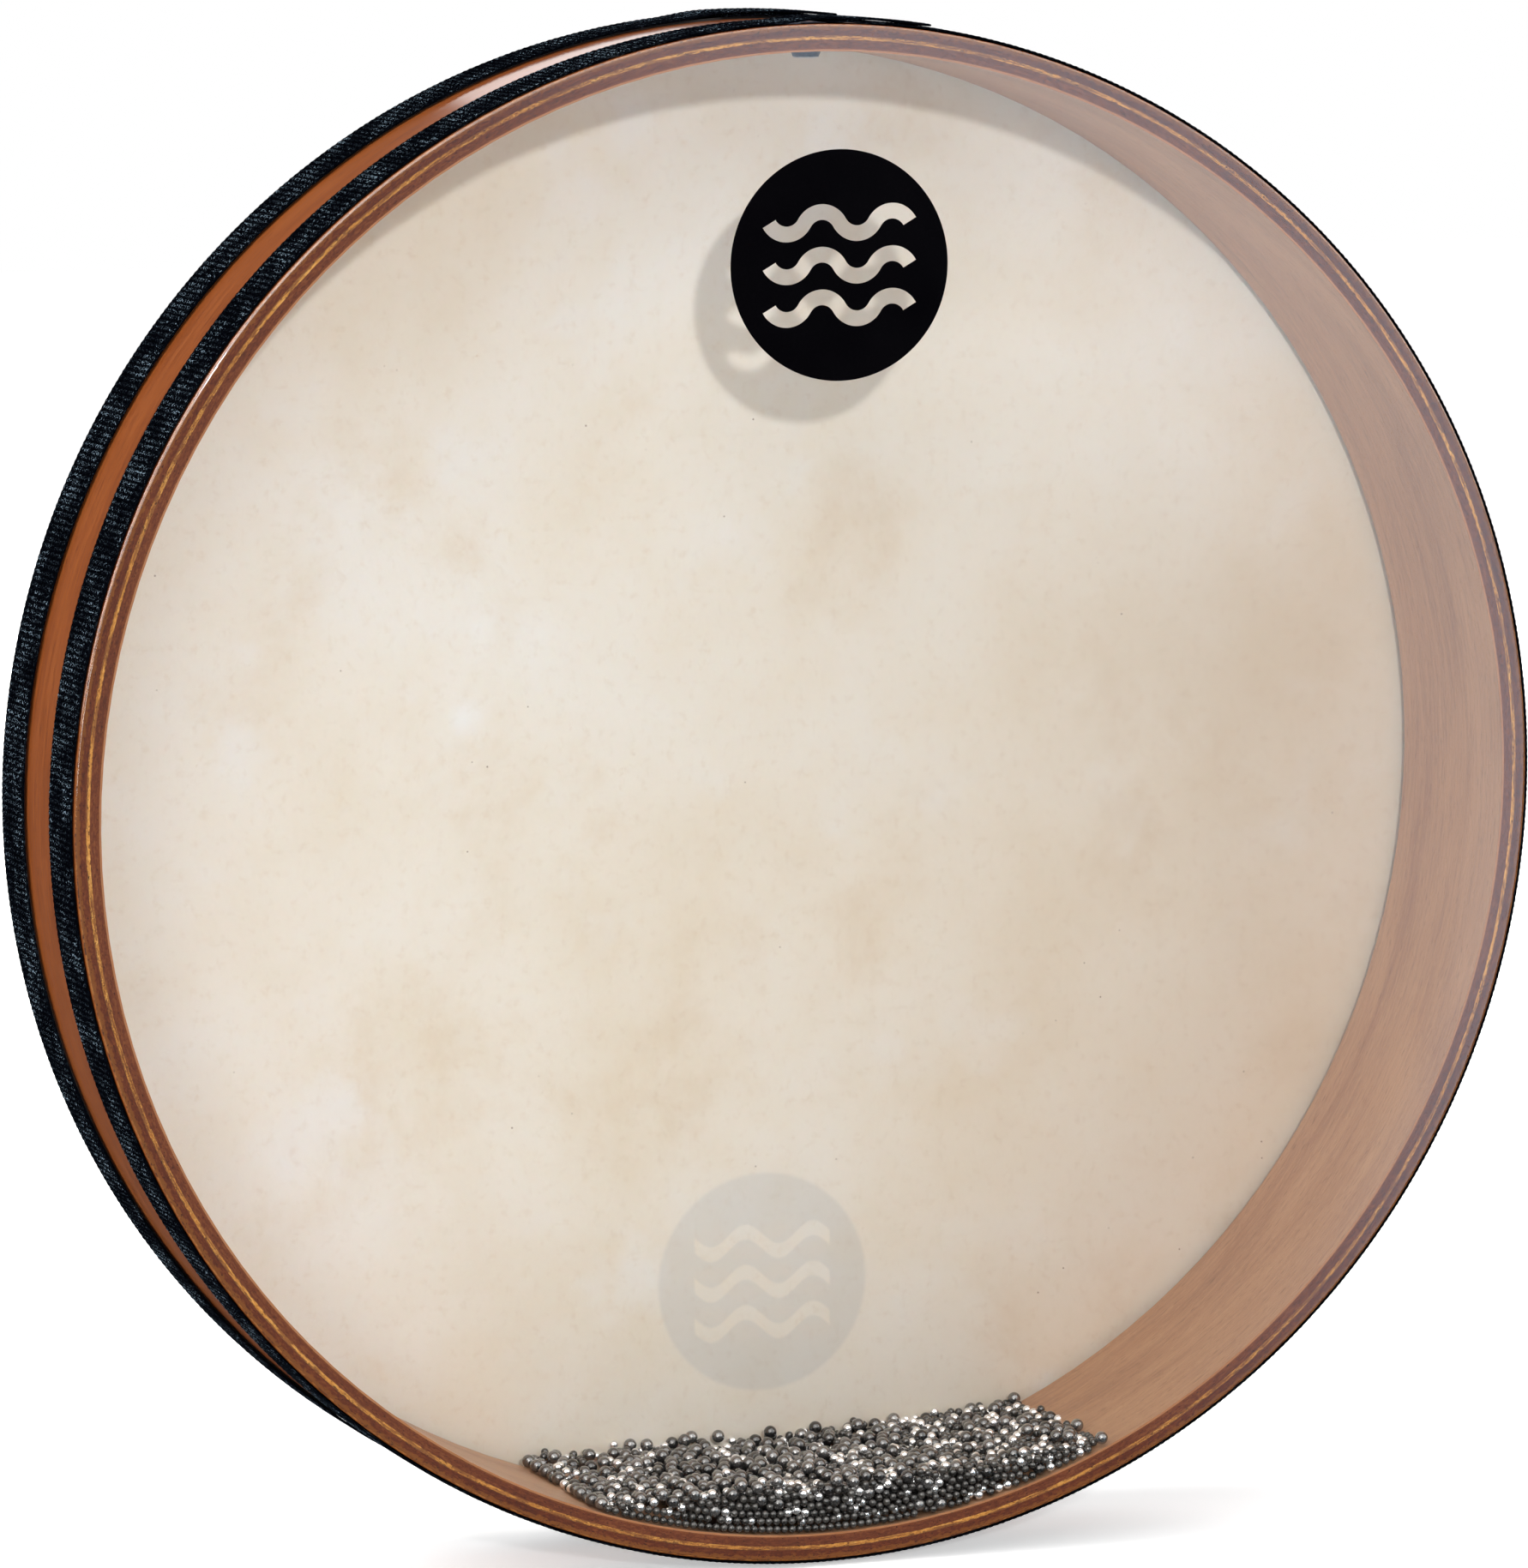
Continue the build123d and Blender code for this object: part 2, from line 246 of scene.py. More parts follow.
def outer_wood():
    """Varnished face veneer: orange-brown, with fine straight grain along the hoop under a glossy coat."""
    look = Look("varnished_veneer")
    vector, _ = look.round_the_axis(1.0, 22.0, 22.0)
    grain = look.noise(vector, 32.0, 6.0, 0.62, 0.15)
    slow, _ = look.round_the_axis(1.0, 5.0, 5.0)
    figure = look.noise(slow, 9.0, 3.0, 0.5, 0.6)
    value = look.math("ADD", look.math("MULTIPLY", grain, 0.6), look.math("MULTIPLY", figure, 0.4))
    colour = look.ramp(value, (0.28, (116, 50, 12)), (0.48, (166, 84, 26)), (0.72, (192, 106, 40)))
    pores_at, _ = look.round_the_axis(1.0, 14.0, 14.0)
    pores = look.noise(pores_at, 170.0, 2.0, 0.5)
    colour = look.blend(look.band(pores, 0.60, 0.70, 0.0, 0.6), colour, (96, 34, 10))
    _, y, _ = look.parts()
    speckle = look.noise(look.coords, 700.0, 2.0, 0.6)
    rim = look.band(look.math("ABSOLUTE", y), HALF_DEPTH - 0.6 * MM, HALF_DEPTH - 0.1 * MM)
    edge = look.ramp(speckle, (0.35, (52, 22, 8)), (0.5, (140, 84, 30)), (0.62, (170, 112, 48)))
    colour = look.blend(rim, colour, edge)
    look.set(Base_Color=colour, Roughness=look.band(grain, 0.2, 0.8, 0.36, 0.5), Coat_Weight=0.7)
    look.set(Coat_Roughness=0.12, Normal=look.bump(grain, 0.05 * MM, 0.35))
    return look.material


def inner_wood():
    """The inside veneer: satin, pinkish brown, with fine grain round the hoop and dark and pale flecks."""
    look = Look("inner_veneer")
    vector, _ = look.round_the_axis(1.0, 20.0, 20.0)
    grain = look.noise(vector, 34.0, 6.0, 0.65, 0.1)
    slow, _ = look.round_the_axis(1.0, 4.0, 4.0)
    figure = look.noise(slow, 10.0, 3.0, 0.55, 0.8)
    value = look.math("ADD", look.math("MULTIPLY", grain, 0.5), look.math("MULTIPLY", figure, 0.5))
    colour = look.ramp(value, (0.28, (158, 112, 84)), (0.5, (190, 144, 110)), (0.72, (208, 164, 128)))
    pores_at, _ = look.round_the_axis(1.0, 10.0, 10.0)
    pores = look.noise(pores_at, 230.0, 2.0, 0.5)
    colour = look.blend(look.band(pores, 0.60, 0.70, 0.0, 0.5), colour, (106, 66, 46))
    flecks = look.noise(pores_at, 330.0, 1.0, 0.5)
    colour = look.blend(look.band(flecks, 0.66, 0.72, 0.0, 0.7), colour, (214, 172, 136))
    edge = look.blend(0.5, (150, 86, 36), (184, 118, 56))
    _, y, _ = look.parts()
    rim = look.band(look.math("ABSOLUTE", y), HALF_DEPTH - 0.2 * MM, HALF_DEPTH + 0.1 * MM)
    colour = look.blend(rim, colour, edge)
    look.set(Base_Color=colour, Roughness=look.band(grain, 0.2, 0.8, 0.42, 0.58), Coat_Weight=0.15)
    look.set(Coat_Roughness=0.3, Normal=look.bump(grain, 0.04 * MM, 0.12))
    return look.material


def dress_plies():
    wear("outer_veneer", outer_wood())
    near_outside = (OUTER_RADIUS - 1.7 * MM, 0.5 * MM, (128, 72, 22))
    outer = edge_wood("outer_core_edge", (66, 24, 8), (98, 42, 16), (128, 66, 28), near_outside)
    wear("outer_core_ply", outer)
    middle = (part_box("centre_ply")[1][0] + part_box("inner_core_ply")[1][0]) / 2
    gap = (middle, 0.26 * MM, (112, 58, 24))
    centre = edge_wood("centre_edge", (150, 88, 30), (206, 142, 60), (236, 184, 98), split=gap)
    wear("centre_ply", centre)
    near_inside = (INNER_RADIUS + 1.3 * MM, -0.9 * MM, (138, 76, 30))
    inner = edge_wood("inner_core_edge", (78, 34, 16), (108, 52, 26), (136, 76, 38), near_inside)
    wear("inner_core_ply", inner)
    wear("inner_veneer", inner_wood())


# ---- Heads ------------------------------------------------------------------------------------------
FILM_MIRROR_HEAD_ON = 0.034
# near black for the skin's skirt where it runs under the tape
UNDER_TAPE_DARK = (26, 20, 18)
EMBLEM_RADIUS = 34.0 * MM
WAVE_PITCH = 12.5 * MM
WAVE_PERIOD = 22.0 * MM
WAVE_RISE = 3.2 * MM
WAVE_LINE = 4.6 * MM
WAVE_SPAN = 44.0 * MM


def goatskin():
    """Goatskin: cream, with tan clouds, milky patches and fine pores. The emblem faintly shows through as
    painted shade.
    """
    look = Look("goatskin")
    x, y, z = look.parts()
    flat = look.vector(x, 0.0, z)
    clouds = look.noise(flat, 9.0, 8.0, 0.62, 0.15)
    colour = look.ramp(clouds, (0.32, (245, 242, 238)), (0.50, (242, 235, 225)), (0.68, (236, 225, 208)))
    stains = look.noise(look.vector(look.math("ADD", x, 3.7), 0.4, z), 17.0, 6.0, 0.62, 0.25)
    colour = look.blend(look.band(stains, 0.52, 0.76, 0.0, 0.42), colour, (220, 198, 168))
    milk = look.noise(look.vector(x, 5.1, look.math("ADD", z, 1.9)), 26.0, 3.0, 0.5, 0.1)
    colour = look.blend(look.band(milk, 0.58, 0.76, 0.0, 0.5), colour, (244, 243, 243))
    spread = look.noise(look.vector(x, 7.3, z), 60.0, 3.0, 0.6)
    uneven = look.math("MULTIPLY", look.math("SUBTRACT", spread, 0.5), 0.2)
    nick = look.math("ADD", look.cells(flat, 19.0), uneven)
    chosen = look.band(look.noise(look.vector(x, 3.3, z), 7.0, 1.0), 0.50, 0.58)
    nick = look.math("MULTIPLY", look.band(nick, 0.17, 0.02, 0.0, 0.7), chosen)
    colour = look.blend(nick, colour, (246, 247, 248))
    fine = look.noise(flat, 260.0, 4.0, 0.7)
    colour = look.blend(look.band(fine, 0.50, 0.75, 0.0, 0.16), colour, (196, 160, 118))
    lean = look.math("ADD", look.math("MULTIPLY", x, 2.4), look.math("MULTIPLY", z, -2.0))
    rise = look.math("ADD", look.math("MULTIPLY", x, 0.6), look.math("MULTIPLY", z, 0.8))
    hairs = look.noise(look.vector(lean, 9.0, rise), 330.0, 3.0, 0.6)
    colour = look.blend(look.band(hairs, 0.68, 0.78, 0.0, 0.35), colour, (182, 148, 112))
    pores = look.cells(flat, 150.0)
    rare = look.noise(look.vector(x, 2.2, z), 21.0, 2.0)
    spot = look.math("MULTIPLY", look.band(pores, 0.06, 0.03), look.band(rare, 0.56, 0.62))
    colour = look.blend(look.math("MULTIPLY", spot, 0.75), colour, (128, 104, 84))

    # painted shade: the emblem on the outside dims the light that comes through the skin, so its shape is
    # painted greyer on the skin's inside
    low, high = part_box("back_emblem")
    across = look.math("SUBTRACT", x, (low[0] + high[0]) / 2)
    up = look.math("SUBTRACT", z, (low[2] + high[2]) / 2)
    disc = look.band(look.reach(across, up), EMBLEM_RADIUS + 0.6 * MM, EMBLEM_RADIUS - 1.2 * MM)
    phase = look.math("MULTIPLY", across, 2 * math.pi / WAVE_PERIOD)
    level = look.math("ADD", up, look.math("MULTIPLY", look.math("SINE", phase), WAVE_RISE))
    row = look.math("PINGPONG", look.math("ADD", level, WAVE_PITCH * 10), WAVE_PITCH / 2)
    line = look.band(row, WAVE_LINE / 2 + 0.6 * MM, WAVE_LINE / 2 - 0.6 * MM)
    inside = look.band(look.math("ABSOLUTE", across), WAVE_SPAN / 2 + 0.5 * MM, WAVE_SPAN / 2 - 0.5 * MM)
    rows = look.band(look.math("ABSOLUTE", level), WAVE_PITCH * 1.5 + 0.2 * MM, WAVE_PITCH * 1.5 - 0.2 * MM)
    line = look.math("MULTIPLY", look.math("MULTIPLY", line, inside), rows)
    painted_emblem_shade = look.math("MULTIPLY", disc, look.math("SUBTRACT", 1.0, line))
    front_side = look.band(y, HALF_DEPTH + 0.4 * MM, HALF_DEPTH + 0.2 * MM)
    painted_emblem_shade = look.math("MULTIPLY", look.math("MULTIPLY", painted_emblem_shade, front_side), 0.30)
    colour = look.blend(painted_emblem_shade, colour, (196, 198, 200))

    # painted shade: darker and yellower towards the right, below the emblem, where the right wall shades the
    # skin
    right_wall_shade = look.math("MULTIPLY", look.band(x, -0.12, 0.20, 0.0, 0.6), look.band(z, 0.02, 0.16, 1.0, 0.3))
    colour = look.blend(right_wall_shade, colour, (206, 190, 166), "MULTIPLY")
    # the skirt is painted near black where it runs under the tape, so none of it shows pale under the back
    # tape's ramp
    outside = look.band(look.reach(x, z), OUTER_RADIUS - 0.3 * MM, OUTER_RADIUS)
    below_edge = look.band(y, HALF_DEPTH - 1.0 * MM, HALF_DEPTH - 1.4 * MM)
    colour = look.blend(look.math("MULTIPLY", outside, below_edge), colour, UNDER_TAPE_DARK)

    relief = look.math("ADD", look.math("MULTIPLY", fine, 0.8), look.math("MULTIPLY", hairs, 0.2))
    look.set(Base_Color=colour, Roughness=look.band(clouds, 0.3, 0.7, 0.5, 0.62), Specular_IOR_Level=0.35)
    look.set(Subsurface_Weight=0.12, Subsurface_Radius=(0.004, 0.0025, 0.0015), Subsurface_Scale=0.5)
    look.set(Normal=look.bump(relief, 0.04 * MM, 0.045))
    return look.material


def film():
    """Clear polyester film: almost invisible head on, and glossy where it mirrors something bright."""
    look = Look("clear_film")
    nodes = look.tree.nodes
    clear = nodes.new("ShaderNodeBsdfTransparent")
    clear.inputs["Color"].default_value = (0.985, 0.985, 0.98, 1)
    # a Fresnel node takes a back face for the inside of solid glass, and goes opaque there past 44 degrees
    facing = nodes.new("ShaderNodeLayerWeight").outputs["Facing"]
    grazing = look.math("MULTIPLY", look.math("POWER", facing, 5.0), 1 - FILM_MIRROR_HEAD_ON)
    gloss = look.math("ADD", grazing, FILM_MIRROR_HEAD_ON)
    haze = look.noise(look.coords, 14.0, 4.0, 0.6)
    ripple = look.noise(look.coords, 5.0, 2.0, 0.5)
    look.set(Base_Color=(0.9, 0.9, 0.9, 1), Metallic=1.0, Roughness=look.band(haze, 0.3, 0.7, 0.05, 0.09))
    look.set(Normal=look.bump(ripple, 1.2 * MM, 0.03))
    mixed = nodes.new("ShaderNodeMixShader")
    look.tree.links.new(gloss, mixed.inputs[0])
    look.tree.links.new(clear.outputs[0], mixed.inputs[1])
    look.tree.links.new(look.shader.outputs[0], mixed.inputs[2])
    look.tree.links.new(mixed.outputs[0], nodes["Material Output"].inputs["Surface"])
    return look.material


def lathe(name, profile, segments=360):
    """A surface of revolution about Y from (radius, y) points. A radius of 0 is one point on the axis."""
    angles = np.linspace(0, 2 * math.pi, segments, endpoint=False)
    corners, rings, faces = [], [], []
    for radius, y in profile:
        rings.append((len(corners), radius > 0))
        turns = angles if radius > 0 else angles[:1]
        corners += [(radius * math.sin(angle), y, radius * math.cos(angle)) for angle in turns]
    for (start, start_round), (end, end_round) in zip(rings, rings[1:]):
        for number in range(segments):
            beside = (number + 1) % segments
            near = (start + number, start + beside) if start_round else (start,)
            far = (end + beside, end + number) if end_round else (end,)
            faces.append(near + far)
    return new_mesh(name, corners, faces)


def make_film():
    """The clear head as a thin shell: a flat disc, a bend at the hoop's edge and a skirt under the tape."""
    clearance, thickness, bend, skirt = 0.03 * MM, 0.1 * MM, 1.0 * MM, 21.0 * MM
    turn = (OUTER_RADIUS - bend, -(HALF_DEPTH - bend))
    outline = []
    for layer, inward in ((clearance + thickness, False), (clearance, True)):
        reach = bend + layer
        bow = [(math.sin(a), -math.cos(a)) for a in np.linspace(0, math.pi / 2, 9)]
        side = [(share * turn[0], turn[1] - reach) for share in np.linspace(0, 1, 13)[:-1]]
        side += [(turn[0] + reach * out, turn[1] + reach * along) for out, along in bow]
        side.append((turn[0] + reach, -HALF_DEPTH + skirt))
        outline += side[::-1] if inward else side
    piece = lathe("film_head", outline)
    piece.data.materials.append(film())
    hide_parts("clear_head")
    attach(piece, "drum")


def print_black():
    """Screen-printed ink: black, even, with a faint pebble in its gloss."""
    look = Look("black_print")
    grain = look.noise(look.coords, 900.0, 2.0, 0.6)
    patch = look.noise(look.coords, 40.0, 3.0, 0.5)
    colour = look.ramp(patch, (0.3, (3, 2, 4)), (0.7, (6, 5, 7)))
    look.set(Base_Color=colour, Roughness=look.band(grain, 0.3, 0.7, 0.2, 0.3), Specular_IOR_Level=0.01)
    look.set(Normal=look.bump(grain, 0.02 * MM, 0.3))
    return look.material


def plug_plastic():
    """The filler plug: dull slate-grey plastic with a pale ragged moulding edge at the nose."""
    look = Look("slate_plastic")
    _, _, z = look.parts()
    mottled = look.noise(look.coords, 600.0, 4.0, 0.7)
    colour = look.ramp(mottled, (0.3, (58, 62, 78)), (0.55, (82, 88, 108)), (0.75, (112, 116, 132)))
    tip = look.math("ADD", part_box("filler_plug")[0][2], 0.25 * MM)
    ragged = look.math("ADD", z, look.math("MULTIPLY", look.math("SUBTRACT", mottled, 0.5), 0.8 * MM))
    at_tip = look.band(look.math("SUBTRACT", ragged, tip), 0.15 * MM, 0.0)
    colour = look.blend(at_tip, colour, (206, 208, 212))
    look.set(Base_Color=colour, Roughness=0.5, Normal=look.bump(mottled, 0.1 * MM, 0.4))
    return look.material


# ---- Shot -------------------------------------------------------------------------------------------
def steel(name, darkest, lightest, roughness, metallic, coat=1.0):
    """Steel shot: each ball has its own tone and a lightly scuffed surface under a film of oil, the coat."""
    look = Look(name)
    each = look.tree.nodes.new("ShaderNodeNewGeometry").outputs["Random Per Island"]
    scuff = look.noise(look.coords, 900.0, 3.0, 0.6)
    colour = look.ramp(each, (0.0, darkest), (1.0, lightest))
    colour = look.blend(look.band(scuff, 0.55, 0.8, 0.0, 0.12), colour, (60, 58, 57))
    look.set(Base_Color=colour, Metallic=metallic, Specular_IOR_Level=0.6)
    look.set(Coat_Weight=coat, Coat_Roughness=0.04)
    look.set(Roughness=look.band(scuff, 0.3, 0.7, roughness * 0.8, roughness * 1.3))
    look.set(Normal=look.bump(scuff, 0.01 * MM, 0.12))
    return look.material


def dress_shot():
    wear("dark_shot", steel("dark_steel", (54, 52, 50), (86, 83, 80), 0.2, 0.35, 0.6))
    wear("bright_shot", steel("bright_steel", (246, 246, 248), (255, 255, 255), 0.07, 0.85))
    wear("large_shot", steel("grey_steel", (62, 60, 59), (138, 136, 135), 0.14, 0.7))


def hidden_balls():
    """Balls packed through the core of the heap, which the separate balls leave in sight here and there."""
    low, high = (np.array(corner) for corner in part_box("shot_core"))
    rng = np.random.default_rng(11)
    radius = 1.35 * MM
    pitch = 2.75 * MM
    places = []
    for layer in range(4):
        crown = high[2] - radius - layer * pitch * 0.82
        for row, y in enumerate(np.arange(low[1] + radius, high[1] - radius, pitch * 0.87)):
            shift = 0.5 * pitch * ((row + layer) % 2)
            for x in np.arange(low[0] + shift, high[0], pitch):
                top = crown - (high[0] - x) * math.tan(HEAP_TILT)
                if math.hypot(x, top) + 2 * radius < INNER_RADIUS:
                    places.append((x, y, top, layer))
    places = np.array(places)
    on_face = (places[:, 3] == 0) | (places[:, 1] < low[1] + 3 * radius)
    places = places[:, :3] + rng.uniform(-0.15, 0.15, (len(places), 3)) * MM
    places = places[on_face]
    bpy.ops.mesh.primitive_ico_sphere_add(subdivisions=2, radius=1.0)
    model = bpy.context.object
    corners = np.array([v.co[:] for v in model.data.vertices])
    faces = np.array([p.vertices[:] for p in model.data.polygons])
    bpy.data.objects.remove(model)
    count = len(corners)
    all_corners = np.concatenate([corners * radius + place for place in places])
    all_faces = np.concatenate([faces + number * count for number in range(len(places))])
    piece = new_mesh("hidden_shot", all_corners, all_faces.tolist())
    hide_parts("shot_core")
    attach(piece, "shot")
    # painted shade: the same steel as the dark shot, painted darker because these balls sit in the heap's
    # gaps
    piece.data.materials.append(steel("deep_steel_painted_shade", (34, 32, 31), (56, 53, 52), 0.2, 0.35, 0.5))


def new_mesh(name, corners, faces):
    """A smooth-shaded mesh object in the scene."""
    mesh = bpy.data.meshes.new(name)
    mesh.from_pydata([tuple(c) for c in corners], [], faces)
    mesh.polygons.foreach_set("use_smooth", [True] * len(mesh.polygons))
    mesh.update()
    piece = bpy.data.objects.new(name, mesh)
    bpy.context.scene.collection.objects.link(piece)
    return piece


# ---- Tapes ------------------------------------------------------------------------------------------
RIB_PITCH = 2.0 * MM
RIB_STEPS = 4
TAPE_THICKNESS = 0.9 * MM
TAPE_GAP = 0.05 * MM


def tape_material():
    """Black grosgrain: bluish-black yarn, with painted highlights: lighter rib crests and small painted
    glints on them.
    """
    look = Look("woven_tape")
    around, _ = look.round_the_axis(1.0, 1.0, 0.0)
    crest = look.tree.nodes.new("ShaderNodeAttribute")
    crest.attribute_name = "crest"
    crest = crest.outputs["Fac"]
    yarn = look.noise(around, 1500.0, 3.0, 0.6)
    glint_patches = look.noise(around, 90.0, 4.0, 0.6)
    colour = look.ramp(yarn, (0.3, (1, 1, 3)), (0.55, (4, 5, 9)), (0.75, (10, 13, 22)))
    # painted highlight: the rib crests are painted a lighter blue-black where they catch the light
    colour = look.blend(look.band(crest, 0.35, 1.0, 0.0, 0.35), colour, (14, 18, 28))
    # painted glints: small pale sparkles on the crests, gathered in patches
    glint = look.band(look.noise(look.coords, 2100.0, 0.0, 0.5), 0.635, 0.70)
    glint = look.math("MULTIPLY", glint, look.band(glint_patches, 0.42, 0.62, 0.1, 1.0))
    glint = look.math("MULTIPLY", glint, look.band(crest, 0.15, 0.55, 0.06, 1.0))
    colour = look.blend(look.math("MULTIPLY", glint, 0.95), colour, (168, 194, 214))
    look.set(Base_Color=colour, Roughness=look.band(glint, 0.0, 1.0, 0.62, 0.35), Specular_IOR_Level=0.0)
    look.set(Normal=look.bump(yarn, 0.12 * MM, 0.6))
    return look.material


def tape_profile():
    """The tape's cross-section, right round: (place across, height, 1 on the outside or 0 on the inside)."""
    across = np.linspace(-1, 1, 25)
    # full thickness in the middle, rounded down at the selvedges
    body = 1 - 0.35 * np.abs(across) ** 14
    top = [(u, b, 1) for u, b in zip(across, body)]
    bottom = [(u, 0.12 if abs(u) > 0.98 else 0.0, 0) for u in across[::-6]]
    return top + bottom


def make_tape(name, seed, head_build, ramp, ends, material):
    """A ribbed tape wound once round the hoop, its last stretch on its own beginning, as in the CAD.

    ramp is where the upper layer climbs, and ends are the lower and the upper end, all in degrees.
    """
    low_radius = OUTER_RADIUS + head_build + TAPE_GAP
    under_end, over_end = ends
    box_low, box_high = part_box(name)
    middle = (box_low[1] + box_high[1]) / 2
    half_width = (box_high[1] - box_low[1]) / 2 - 0.1 * MM
    sweep = math.radians(360 + over_end - under_end)
    ribs = int(round(sweep * low_radius / RIB_PITCH))
    angles = np.linspace(math.radians(under_end), math.radians(360 + over_end), ribs * RIB_STEPS + 1)
    lift = TAPE_THICKNESS + TAPE_GAP
    rise = np.interp(np.degrees(angles), (360 + ramp[0], 360 + ramp[1]), (0.0, lift))
    # the ramp eases in and out
    share = rise / lift
    rise = lift * share * share * (3 - 2 * share)
    profile = tape_profile()
    # the ribs differ a little, and the selvedges waver slowly
    rng = np.random.default_rng(seed)
    waver = np.convolve(rng.uniform(-1, 1, len(angles) + 48), np.ones(49) / 49, "valid") * 1.2 * MM
    rib_phase = np.arange(len(angles)) * (2 * math.pi / RIB_STEPS)
    ridge = 0.5 + 0.5 * np.cos(rib_phase)
    uneven = np.repeat(rng.uniform(0.7, 1.0, ribs + 1), RIB_STEPS)[: len(angles)]
    corners, crests = [], []
    for number, angle in enumerate(angles):
        # the upper end's corners are rounded off
        from_end = (angles[-1] - angle) * low_radius
        narrow = 1 - 0.10 * max(0.0, 1 - from_end / (2.0 * MM)) ** 2
        for place, height, is_top in profile:
            yarns = 0.5 + 0.5 * math.cos(place * math.pi * 17 + (number // RIB_STEPS % 2) * math.pi)
            rib = ridge[number] * uneven[number] * (0.75 + 0.25 * yarns)
            thick = TAPE_THICKNESS * height * (1 - 0.24 * (1 - rib) * is_top)
            edge = 0.12 * MM * (ridge[number] - 0.5) * abs(place) ** 20 * math.copysign(1, place)
            radius = low_radius + rise[number] + thick
            along = middle + place * half_width * narrow + edge
            along += waver[number] * 0.15 * abs(place) ** 4
            corners.append((radius * math.sin(angle), along, radius * math.cos(angle)))
            crests.append(rib * is_top * (abs(place) < 0.95))
    ring = len(profile)
    faces = []
    for number in range(len(angles) - 1):
        for place in range(ring):
            here = number * ring + place
            beside = number * ring + (place + 1) % ring
            faces.append((here, here + ring, beside + ring, beside))
    faces.append(tuple(range(ring)))
    last = (len(angles) - 1) * ring
    faces.append(tuple(last + place for place in reversed(range(ring))))
    piece = new_mesh(f"{name}_weave", corners, faces)
    piece.data.attributes.new("crest", "FLOAT", "POINT").data.foreach_set("value", crests)
    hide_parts(name)
    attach(piece, "drum")
    piece.data.materials.append(material)


# ---- Studio -----------------------------------------------------------------------------------------
CAMERA_DISTANCE = 11 * OUTER_RADIUS
CAMERA_AZIMUTH = -20.18
CAMERA_ELEVATION = 7.1
LENS = 197.8
SHIFT = (-0.0095, 0.001)


def direction(azimuth, elevation):
    """Where a camera or lamp stands, seen from the drum. Azimuth 0 is straight in front."""
    a, e = math.radians(azimuth), math.radians(elevation)
    return Vector((math.sin(a) * math.cos(e), -math.cos(a) * math.cos(e), math.sin(e)))


def aim(thing, target=(0, 0, 0)):
    """Turns a camera or lamp to face a point."""
    thing.rotation_euler = (Vector(target) - thing.location).to_track_quat("-Z", "Y").to_euler()


def add_lamp(name, azimuth, elevation, distance, width, height, power, target=(0, 0, 0)):
    data = bpy.data.lights.new(name, "AREA")
    data.shape = "RECTANGLE"
    data.size = width
    data.size_y = height
    data.energy = power
    lamp = bpy.data.objects.new(name, data)
    lamp.location = direction(azimuth, elevation) * distance
    bpy.context.scene.collection.objects.link(lamp)
    aim(lamp, target)
    return lamp


def square(name, half, level=0.0):
    """A flat square in the scene, facing up."""
    corners = [(-half, -half, level), (half, -half, level), (half, half, level), (-half, half, level)]
    return new_mesh(name, corners, [(0, 1, 2, 3)])


def make_floor():
    floor = square("floor", 6.0, CAD_BOX[0][2] - 0.5 * MM)
    look = Look("floor_paper")
    tone = look.noise(look.coords, 3.0, 3.0)
    look.set(Base_Color=look.ramp(tone, (0.3, (246, 246, 246)), (0.7, (249, 249, 249))), Roughness=0.8)
    # painted light: away from the drum the paper glows for the camera, so that it runs into the white
    # backdrop
    x, y, _ = look.parts()
    away = look.reach(x, y)
    seen = look.tree.nodes.new("ShaderNodeLightPath")
    glow = look.math("MULTIPLY", look.band(away, 0.05, 0.5, 0.45, 1.0), seen.outputs["Is Camera Ray"])
    look.set(Emission_Color=(1, 1, 1, 1), Emission_Strength=glow)
    floor.data.materials.append(look.material)
    floor.visible_glossy = False


def make_room():
    world = bpy.data.worlds.new("studio")
    world.use_nodes = True
    bpy.context.scene.world = world
    nodes, links = world.node_tree.nodes, world.node_tree.links
    # the paper backdrop is white to the eye, and the room that lights the drum is dim
    room = nodes["Background"]
    room.inputs["Color"].default_value = (1, 1, 1, 1)
    room.inputs["Strength"].default_value = 0.04
    backdrop = nodes.new("ShaderNodeBackground")
    backdrop.inputs["Color"].default_value = (1, 1, 1, 1)
    seen = nodes.new("ShaderNodeLightPath")
    mixed = nodes.new("ShaderNodeMixShader")
    links.new(seen.outputs["Is Camera Ray"], mixed.inputs[0])
    links.new(room.outputs[0], mixed.inputs[1])
    links.new(backdrop.outputs[0], mixed.inputs[2])
    links.new(mixed.outputs[0], nodes["World Output"].inputs["Surface"])


def make_lamps():
    add_lamp("key", -12, 15, 4.0, 0.13, 0.13, 55)
    add_lamp("right_fill", 54, 12, 2.5, 1.2, 1.6, 7)
    add_lamp("front_high", -24, 36, 2.5, 1.6, 1.2, 12.5)
    add_lamp("left_fill", -98, 26, 2.5, 1.2, 2.0, 28)
    overhead = add_lamp("overhead", 10, 80, 2.6, 2.0, 2.0, 24)
    overhead.visible_glossy = False
    # seen only as the pale streak in the varnish near the top
    add_lamp("backdrop_streak", 165, 17, 3.0, 0.75, 0.8, 3.0)
    low = add_lamp("low_front", -30, 0, 1.6, 0.5, 0.25, 0.26, target=(0.03, 0.03, -0.225))
    low.data.spread = math.radians(45)
    rear = add_lamp("rear_fill", 170, 30, 2.8, 2.0, 2.0, 34)
    rear.visible_glossy = False


def glow_in_mirrors(piece, look, strength, colour):
    """Makes a piece of the studio a glowing surface that only mirrors see."""
    look.set(Base_Color=(0, 0, 0, 1), Roughness=1.0, Specular_IOR_Level=0.0)
    look.set(Emission_Color=(*colour, 1), Emission_Strength=strength)
    piece.data.materials.append(look.material)
    piece.visible_camera = False
    piece.visible_diffuse = False
    piece.visible_shadow = False


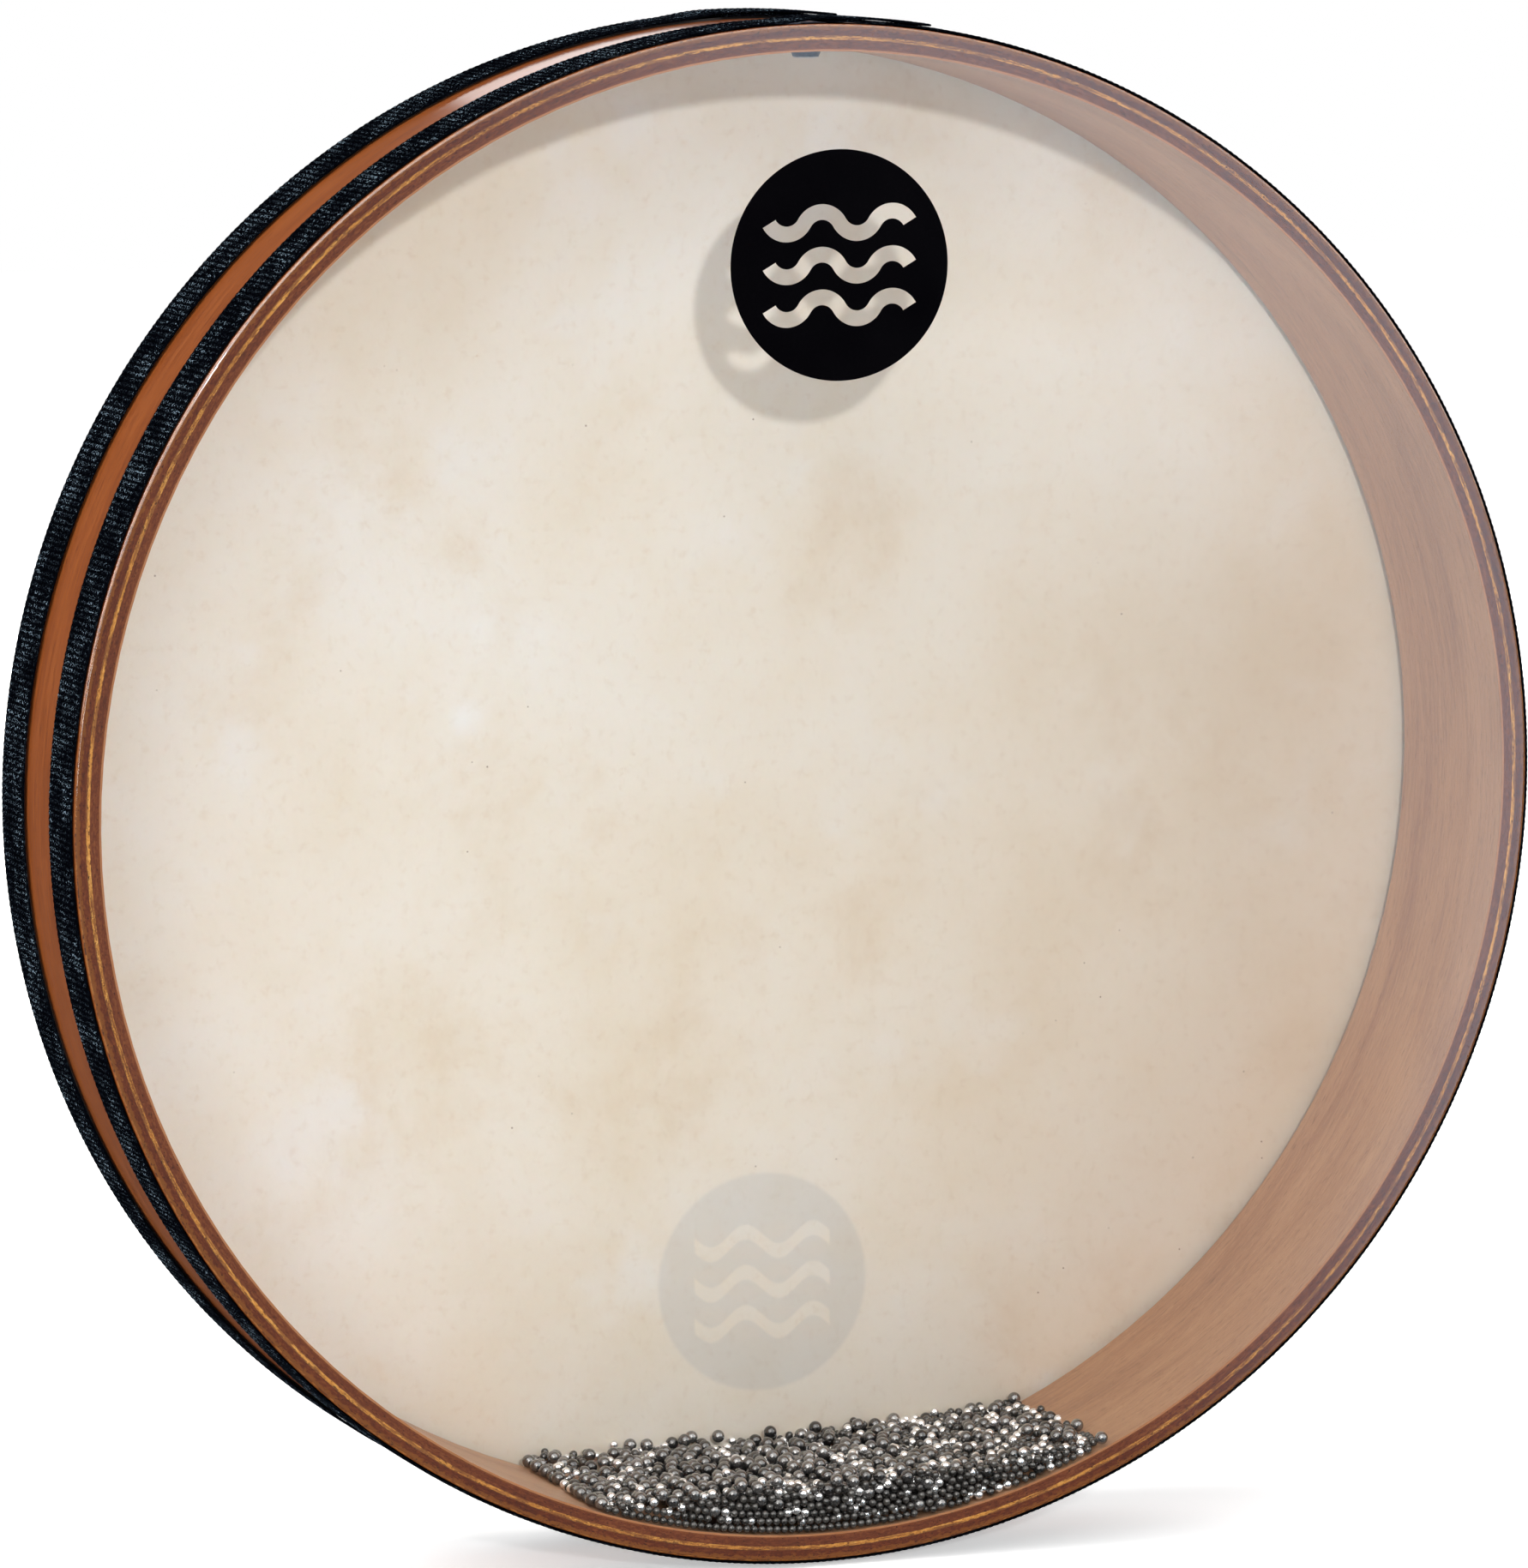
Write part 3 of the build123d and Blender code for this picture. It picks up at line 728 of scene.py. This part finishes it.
def add_dome():
    """The bright upper front of the studio, which only mirrors see: it gives the steel balls their shine.

    It is dark below the horizon, so the clear head mirrors none of it.
    """
    across, up = np.linspace(-100, 100, 41), np.linspace(-6, 84, 19)
    corners = [direction(azimuth, elevation) * 3.6 for elevation in up for azimuth in across]
    width = len(across)
    faces = []
    for row in range(len(up) - 1):
        for number in range(width - 1):
            here = row * width + number
            faces.append((here, here + 1, here + 1 + width, here + width))
    dome = new_mesh("studio_dome", corners, faces)
    look = Look("studio_dome")
    _, _, z = look.parts()
    glow_in_mirrors(dome, look, look.band(z, 0.15, 0.8, 0.0, 2.2), (1, 1, 1))


def add_veil():
    """A bluish card that only mirrors see: it fades in towards the right, and the film shows it as a haze.

    It stands where the clear head mirrors the camera's line of sight.
    """
    middle = direction(-CAMERA_AZIMUTH, -CAMERA_ELEVATION) * 3.0
    card = square("veil_card", 0.9)
    card.location = middle
    card.rotation_euler = (-middle).to_track_quat("Z", "Y").to_euler()
    look = Look("veil_card")
    x, y, _ = look.parts()
    # seen from the drum, the card's own x runs to the left
    towards = look.math("SUBTRACT", look.math("MULTIPLY", y, 0.5), look.math("MULTIPLY", x, 0.8))
    glow_in_mirrors(card, look, look.band(towards, -0.1, 0.45, 0.0, 2.4), (0.62, 0.82, 1.0))


def make_camera():
    data = bpy.data.cameras.new("camera")
    data.sensor_fit = "HORIZONTAL"
    data.sensor_width = 36
    data.lens = LENS
    data.shift_x, data.shift_y = SHIFT
    data.clip_end = 50
    camera = bpy.data.objects.new("camera", data)
    camera.location = direction(CAMERA_AZIMUTH, CAMERA_ELEVATION) * CAMERA_DISTANCE
    aim(camera)
    bpy.context.scene.collection.objects.link(camera)
    bpy.context.scene.camera = camera


make_camera()
make_floor()
make_room()
make_lamps()
add_veil()
add_dome()
dress_plies()
wear("skin_head", goatskin())
make_film()
wear("front_emblem", print_black())
wear("back_emblem", print_black())
wear("filler_plug", plug_plastic())
dress_shot()
hidden_balls()
weave = tape_material()
make_tape("front_tape", 5, FILM_BUILD, (-3.0, 0.6), (0.5, 8.6), weave)
make_tape("back_tape", 6, SKIN_BUILD, (-7.0, -3.0), (-3.1, 6.0), weave)

bpy.context.scene.view_settings.view_transform = "Standard"
bpy.context.scene.view_settings.look = "None"
